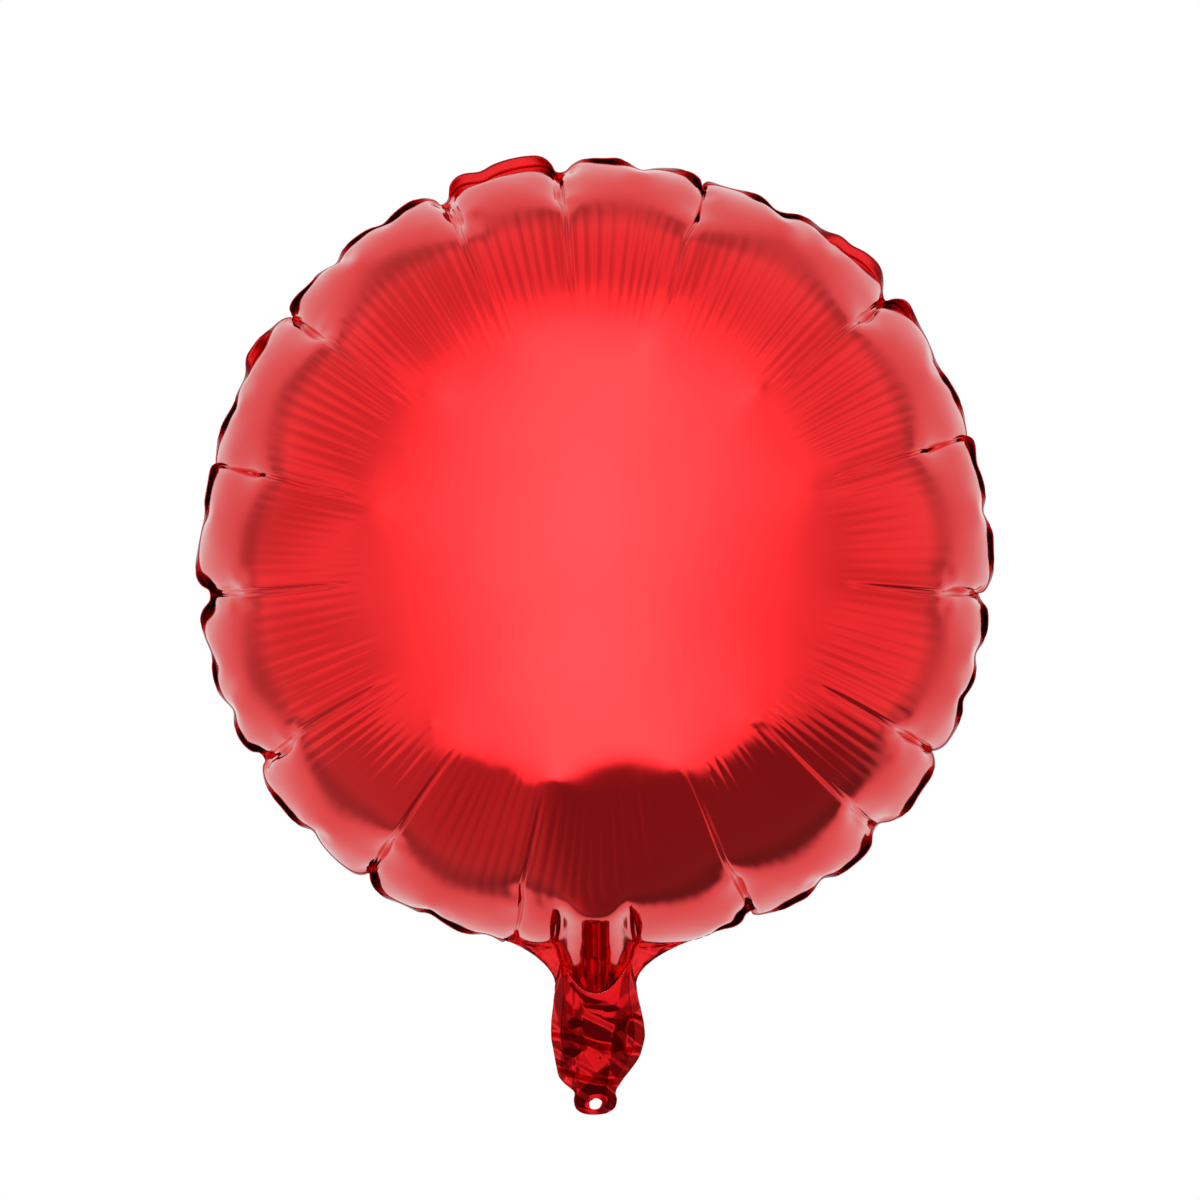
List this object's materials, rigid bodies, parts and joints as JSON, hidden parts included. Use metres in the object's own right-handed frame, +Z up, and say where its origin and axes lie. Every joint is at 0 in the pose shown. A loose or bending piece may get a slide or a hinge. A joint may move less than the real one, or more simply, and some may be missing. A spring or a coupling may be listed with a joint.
{
  "type": "round foil balloon",
  "caption": "Round inflated foil balloon: two puckered metallised film panels welded at the rim, with a flat tail, tie tab and inner self-sealing valve.",
  "frame": {"origin": "centre of the tie hole, in the middle of the tab's thickness, at the bottom of the tail", "axes": "+X across the balloon, +Y out of the back panel (the front faces -Y), +Z up, from the tail to the top of the rim"},
  "size_m": [0.346, 0.204, 0.4183],
  "materials": {
    "foil": "red metallised film, mirror-like",
    "weld": "heat-sealed band of the same film",
    "clear_film": "thin clear polyethylene film",
    "clear_weld": "heat seal of clear film to foil",
    "print": "matt release ink"
  },
  "bodies": {
    "envelope": {"front_panel": "foil", "back_panel": "foil", "rim_weld": "weld", "valve_front_neck": "clear_film", "valve_back_neck": "clear_film", "valve_front_seal": "clear_weld", "valve_back_seal": "clear_weld", "valve_release_print": "print"},
    "tail": {"tail_front_film": "foil", "tail_back_film": "foil", "tail_weld": "weld", "valve_front_inlet": "clear_film", "valve_back_inlet": "clear_film"},
    "tab": {"tab_front_film": "foil", "tab_back_film": "foil", "tab_weld": "weld"},
    "front_flap": {"valve_front_flap": "clear_film"},
    "back_flap": {"valve_back_flap": "clear_film"}
  },
  "joints": [
    {"name": "tail_flex", "type": "hinge", "parent": "envelope", "child": "tail", "pos_m": [0, 0, 0.0405], "axis": [1, 0, 0], "range_deg": [-75, 75]},
    {"name": "tab_flex", "type": "hinge", "parent": "tail", "child": "tab", "pos_m": [0, 0, 0.0065], "axis": [1, 0, 0], "range_deg": [-60, 60]},
    {"name": "valve_open", "type": "hinge", "parent": "envelope", "child": "front_flap", "pos_m": [0, -0.00013, 0.076], "axis": [1, 0, 0], "range_deg": [0, 12], "stiffness_Nm_per_rad": 0.0002},
    {"name": "valve_back_open", "type": "hinge", "parent": "envelope", "child": "back_flap", "pos_m": [0, 0.00013, 0.076], "axis": [1, 0, 0], "range_deg": [-12, 0], "stiffness_Nm_per_rad": 0.0002}
  ],
  "couplings": [
    {"joint": "valve_back_open", "follows": "valve_open", "ratio": -1}
  ]
}
